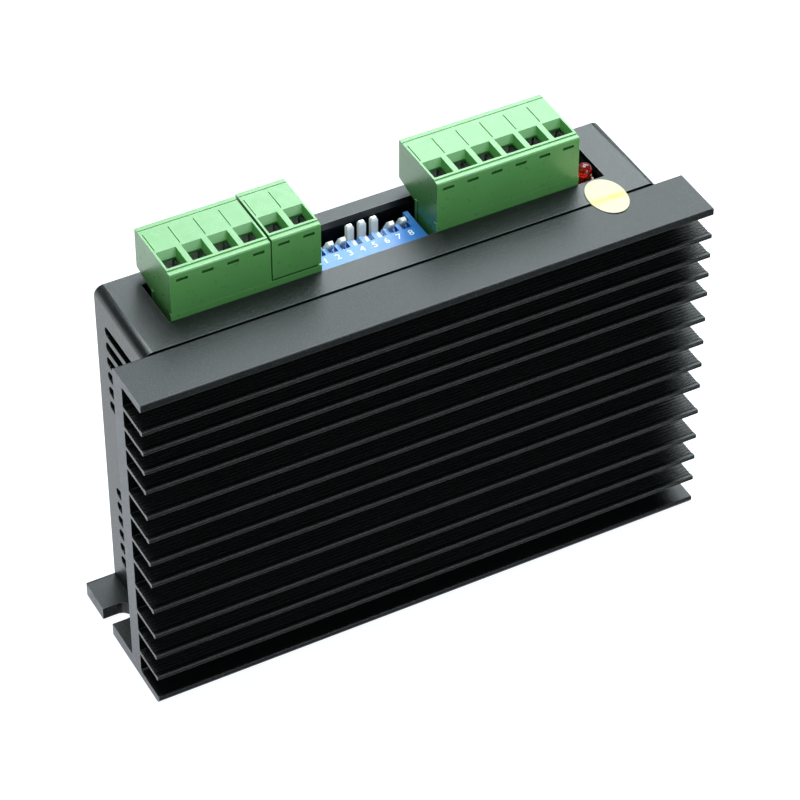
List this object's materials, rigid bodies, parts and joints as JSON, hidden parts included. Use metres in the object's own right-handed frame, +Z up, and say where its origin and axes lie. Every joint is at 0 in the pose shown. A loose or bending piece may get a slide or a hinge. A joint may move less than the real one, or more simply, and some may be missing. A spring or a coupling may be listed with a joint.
{
  "type": "stepper motor driver",
  "caption": "Stepper motor driver with a finned heat sink, folded black cover, plug-in screw terminals, a DIP switch and a status LED, standing on a slotted foot.",
  "frame": {"origin": "centre of the footprint at the underside of the foot flange", "axes": "+X along the fins, -Y towards the fin tips, +Z up to the terminals"},
  "size_m": [0.118, 0.034, 0.0868],
  "materials": {
    "black_anodised": "black anodised, satin",
    "black_coating": "fine satin black coating",
    "seal_paper": "matt paper seal",
    "board_laminate": "solder mask",
    "zinc_steel": "zinc plated",
    "black_steel": "black oxide",
    "gap_pad": "soft silicone",
    "chip_plastic": "moulded",
    "capacitor_sleeve": "shrink sleeve",
    "ferrite": "matt ferrite",
    "terminal_green": "moulded, slight gloss",
    "tinned_brass": "tin plated",
    "switch_blue": "moulded, slight gloss",
    "lever_white": "moulded",
    "red_lens": "tinted clear lens"
  },
  "bodies": {
    "housing": {"heatsink": "black_anodised", "cover": "black_coating", "seal_sticker": "seal_paper", "main_board": "board_laminate", "board_spacers": "zinc_steel", "standoffs": "zinc_steel", "cover_screws": "black_steel", "thermal_pad": "gap_pad", "power_transistors": "chip_plastic", "bulk_capacitors": "capacitor_sleeve", "control_chips": "chip_plastic", "sense_resistors": "chip_plastic", "power_inductor": "ferrite", "left_header": "terminal_green", "right_header": "terminal_green", "header_pins": "tinned_brass", "dip_body": "switch_blue", "dip_axle": "zinc_steel", "small_leads": "tinned_brass", "led_lens": "red_lens", "led_holder": "chip_plastic"},
    "motor_plug": {"motor_plug": "terminal_green", "motor_contacts": "tinned_brass"},
    "motor_screw_1": {"motor_screw_1": "zinc_steel"},
    "motor_cage_1": {"motor_cage_1": "zinc_steel"},
    "motor_screw_2": {"motor_screw_2": "zinc_steel"},
    "motor_cage_2": {"motor_cage_2": "zinc_steel"},
    "motor_screw_3": {"motor_screw_3": "zinc_steel"},
    "motor_cage_3": {"motor_cage_3": "zinc_steel"},
    "motor_screw_4": {"motor_screw_4": "zinc_steel"},
    "motor_cage_4": {"motor_cage_4": "zinc_steel"},
    "supply_plug": {"supply_plug": "terminal_green", "supply_contacts": "tinned_brass"},
    "supply_screw_1": {"supply_screw_1": "zinc_steel"},
    "supply_cage_1": {"supply_cage_1": "zinc_steel"},
    "supply_screw_2": {"supply_screw_2": "zinc_steel"},
    "supply_cage_2": {"supply_cage_2": "zinc_steel"},
    "signal_plug": {"signal_plug": "terminal_green", "signal_contacts": "tinned_brass"},
    "signal_screw_1": {"signal_screw_1": "zinc_steel"},
    "signal_cage_1": {"signal_cage_1": "zinc_steel"},
    "signal_screw_2": {"signal_screw_2": "zinc_steel"},
    "signal_cage_2": {"signal_cage_2": "zinc_steel"},
    "signal_screw_3": {"signal_screw_3": "zinc_steel"},
    "signal_cage_3": {"signal_cage_3": "zinc_steel"},
    "signal_screw_4": {"signal_screw_4": "zinc_steel"},
    "signal_cage_4": {"signal_cage_4": "zinc_steel"},
    "signal_screw_5": {"signal_screw_5": "zinc_steel"},
    "signal_cage_5": {"signal_cage_5": "zinc_steel"},
    "signal_screw_6": {"signal_screw_6": "zinc_steel"},
    "signal_cage_6": {"signal_cage_6": "zinc_steel"},
    "dip_lever_1": {"dip_lever_1": "lever_white"},
    "dip_lever_2": {"dip_lever_2": "lever_white"},
    "dip_lever_3": {"dip_lever_3": "lever_white"},
    "dip_lever_4": {"dip_lever_4": "lever_white"},
    "dip_lever_5": {"dip_lever_5": "lever_white"},
    "dip_lever_6": {"dip_lever_6": "lever_white"},
    "dip_lever_7": {"dip_lever_7": "lever_white"},
    "dip_lever_8": {"dip_lever_8": "lever_white"}
  },
  "joints": [
    {"name": "motor_plug_pull", "type": "slide", "parent": "housing", "child": "motor_plug", "axis": [0, 0, 1], "range_m": [0, 0.01]},
    {"name": "motor_screw_1_turn", "type": "hinge", "parent": "motor_plug", "child": "motor_screw_1", "pos_m": [-0.04176, 0.0155, 0.0812], "axis": [0, -1, 0], "range_deg": [0, 1656]},
    {"name": "motor_cage_1_rise", "type": "slide", "parent": "motor_plug", "child": "motor_cage_1", "axis": [0, 1, 0], "range_m": [0, 0.0023]},
    {"name": "motor_screw_2_turn", "type": "hinge", "parent": "motor_plug", "child": "motor_screw_2", "pos_m": [-0.03668, 0.0155, 0.0812], "axis": [0, -1, 0], "range_deg": [0, 1656]},
    {"name": "motor_cage_2_rise", "type": "slide", "parent": "motor_plug", "child": "motor_cage_2", "axis": [0, 1, 0], "range_m": [0, 0.0023]},
    {"name": "motor_screw_3_turn", "type": "hinge", "parent": "motor_plug", "child": "motor_screw_3", "pos_m": [-0.0316, 0.0155, 0.0812], "axis": [0, -1, 0], "range_deg": [0, 1656]},
    {"name": "motor_cage_3_rise", "type": "slide", "parent": "motor_plug", "child": "motor_cage_3", "axis": [0, 1, 0], "range_m": [0, 0.0023]},
    {"name": "motor_screw_4_turn", "type": "hinge", "parent": "motor_plug", "child": "motor_screw_4", "pos_m": [-0.02652, 0.0155, 0.0812], "axis": [0, -1, 0], "range_deg": [0, 1656]},
    {"name": "motor_cage_4_rise", "type": "slide", "parent": "motor_plug", "child": "motor_cage_4", "axis": [0, 1, 0], "range_m": [0, 0.0023]},
    {"name": "supply_plug_pull", "type": "slide", "parent": "housing", "child": "supply_plug", "axis": [0, 0, 1], "range_m": [0, 0.01]},
    {"name": "supply_screw_1_turn", "type": "hinge", "parent": "supply_plug", "child": "supply_screw_1", "pos_m": [-0.02144, 0.0155, 0.0816], "axis": [0, -1, 0], "range_deg": [0, 1656]},
    {"name": "supply_cage_1_rise", "type": "slide", "parent": "supply_plug", "child": "supply_cage_1", "axis": [0, 1, 0], "range_m": [0, 0.0023]},
    {"name": "supply_screw_2_turn", "type": "hinge", "parent": "supply_plug", "child": "supply_screw_2", "pos_m": [-0.01636, 0.0155, 0.0816], "axis": [0, -1, 0], "range_deg": [0, 1656]},
    {"name": "supply_cage_2_rise", "type": "slide", "parent": "supply_plug", "child": "supply_cage_2", "axis": [0, 1, 0], "range_m": [0, 0.0023]},
    {"name": "signal_plug_pull", "type": "slide", "parent": "housing", "child": "signal_plug", "axis": [0, 0, 1], "range_m": [0, 0.01]},
    {"name": "signal_screw_1_turn", "type": "hinge", "parent": "signal_plug", "child": "signal_screw_1", "pos_m": [0.01244, 0.0155, 0.0818], "axis": [0, -1, 0], "range_deg": [0, 1656]},
    {"name": "signal_cage_1_rise", "type": "slide", "parent": "signal_plug", "child": "signal_cage_1", "axis": [0, 1, 0], "range_m": [0, 0.0023]},
    {"name": "signal_screw_2_turn", "type": "hinge", "parent": "signal_plug", "child": "signal_screw_2", "pos_m": [0.01752, 0.0155, 0.0818], "axis": [0, -1, 0], "range_deg": [0, 1656]},
    {"name": "signal_cage_2_rise", "type": "slide", "parent": "signal_plug", "child": "signal_cage_2", "axis": [0, 1, 0], "range_m": [0, 0.0023]},
    {"name": "signal_screw_3_turn", "type": "hinge", "parent": "signal_plug", "child": "signal_screw_3", "pos_m": [0.0226, 0.0155, 0.0818], "axis": [0, -1, 0], "range_deg": [0, 1656]},
    {"name": "signal_cage_3_rise", "type": "slide", "parent": "signal_plug", "child": "signal_cage_3", "axis": [0, 1, 0], "range_m": [0, 0.0023]},
    {"name": "signal_screw_4_turn", "type": "hinge", "parent": "signal_plug", "child": "signal_screw_4", "pos_m": [0.02768, 0.0155, 0.0818], "axis": [0, -1, 0], "range_deg": [0, 1656]},
    {"name": "signal_cage_4_rise", "type": "slide", "parent": "signal_plug", "child": "signal_cage_4", "axis": [0, 1, 0], "range_m": [0, 0.0023]},
    {"name": "signal_screw_5_turn", "type": "hinge", "parent": "signal_plug", "child": "signal_screw_5", "pos_m": [0.03276, 0.0155, 0.0818], "axis": [0, -1, 0], "range_deg": [0, 1656]},
    {"name": "signal_cage_5_rise", "type": "slide", "parent": "signal_plug", "child": "signal_cage_5", "axis": [0, 1, 0], "range_m": [0, 0.0023]},
    {"name": "signal_screw_6_turn", "type": "hinge", "parent": "signal_plug", "child": "signal_screw_6", "pos_m": [0.03784, 0.0155, 0.0818], "axis": [0, -1, 0], "range_deg": [0, 1656]},
    {"name": "signal_cage_6_rise", "type": "slide", "parent": "signal_plug", "child": "signal_cage_6", "axis": [0, 1, 0], "range_m": [0, 0.0023]},
    {"name": "dip_lever_1_rock", "type": "hinge", "parent": "housing", "child": "dip_lever_1", "pos_m": [-0.011, 0.0107, 0.071], "axis": [1, 0, 0], "range_deg": [-32, 0]},
    {"name": "dip_lever_2_rock", "type": "hinge", "parent": "housing", "child": "dip_lever_2", "pos_m": [-0.00846, 0.0107, 0.071], "axis": [1, 0, 0], "range_deg": [-32, 0]},
    {"name": "dip_lever_3_rock", "type": "hinge", "parent": "housing", "child": "dip_lever_3", "pos_m": [-0.00592, 0.0107, 0.071], "axis": [1, 0, 0], "range_deg": [-32, 0]},
    {"name": "dip_lever_4_rock", "type": "hinge", "parent": "housing", "child": "dip_lever_4", "pos_m": [-0.00338, 0.0107, 0.071], "axis": [1, 0, 0], "range_deg": [0, 32]},
    {"name": "dip_lever_5_rock", "type": "hinge", "parent": "housing", "child": "dip_lever_5", "pos_m": [-0.00084, 0.0107, 0.071], "axis": [1, 0, 0], "range_deg": [0, 32]},
    {"name": "dip_lever_6_rock", "type": "hinge", "parent": "housing", "child": "dip_lever_6", "pos_m": [0.0017, 0.0107, 0.071], "axis": [1, 0, 0], "range_deg": [0, 32]},
    {"name": "dip_lever_7_rock", "type": "hinge", "parent": "housing", "child": "dip_lever_7", "pos_m": [0.00424, 0.0107, 0.071], "axis": [1, 0, 0], "range_deg": [-32, 0]},
    {"name": "dip_lever_8_rock", "type": "hinge", "parent": "housing", "child": "dip_lever_8", "pos_m": [0.00678, 0.0107, 0.071], "axis": [1, 0, 0], "range_deg": [-32, 0]}
  ],
  "couplings": [
    {"joint": "motor_screw_1_turn", "follows": "motor_cage_1_rise", "rad_per_m": 12566},
    {"joint": "motor_screw_2_turn", "follows": "motor_cage_2_rise", "rad_per_m": 12566},
    {"joint": "motor_screw_3_turn", "follows": "motor_cage_3_rise", "rad_per_m": 12566},
    {"joint": "motor_screw_4_turn", "follows": "motor_cage_4_rise", "rad_per_m": 12566},
    {"joint": "supply_screw_1_turn", "follows": "supply_cage_1_rise", "rad_per_m": 12566},
    {"joint": "supply_screw_2_turn", "follows": "supply_cage_2_rise", "rad_per_m": 12566},
    {"joint": "signal_screw_1_turn", "follows": "signal_cage_1_rise", "rad_per_m": 12566},
    {"joint": "signal_screw_2_turn", "follows": "signal_cage_2_rise", "rad_per_m": 12566},
    {"joint": "signal_screw_3_turn", "follows": "signal_cage_3_rise", "rad_per_m": 12566},
    {"joint": "signal_screw_4_turn", "follows": "signal_cage_4_rise", "rad_per_m": 12566},
    {"joint": "signal_screw_5_turn", "follows": "signal_cage_5_rise", "rad_per_m": 12566},
    {"joint": "signal_screw_6_turn", "follows": "signal_cage_6_rise", "rad_per_m": 12566}
  ]
}
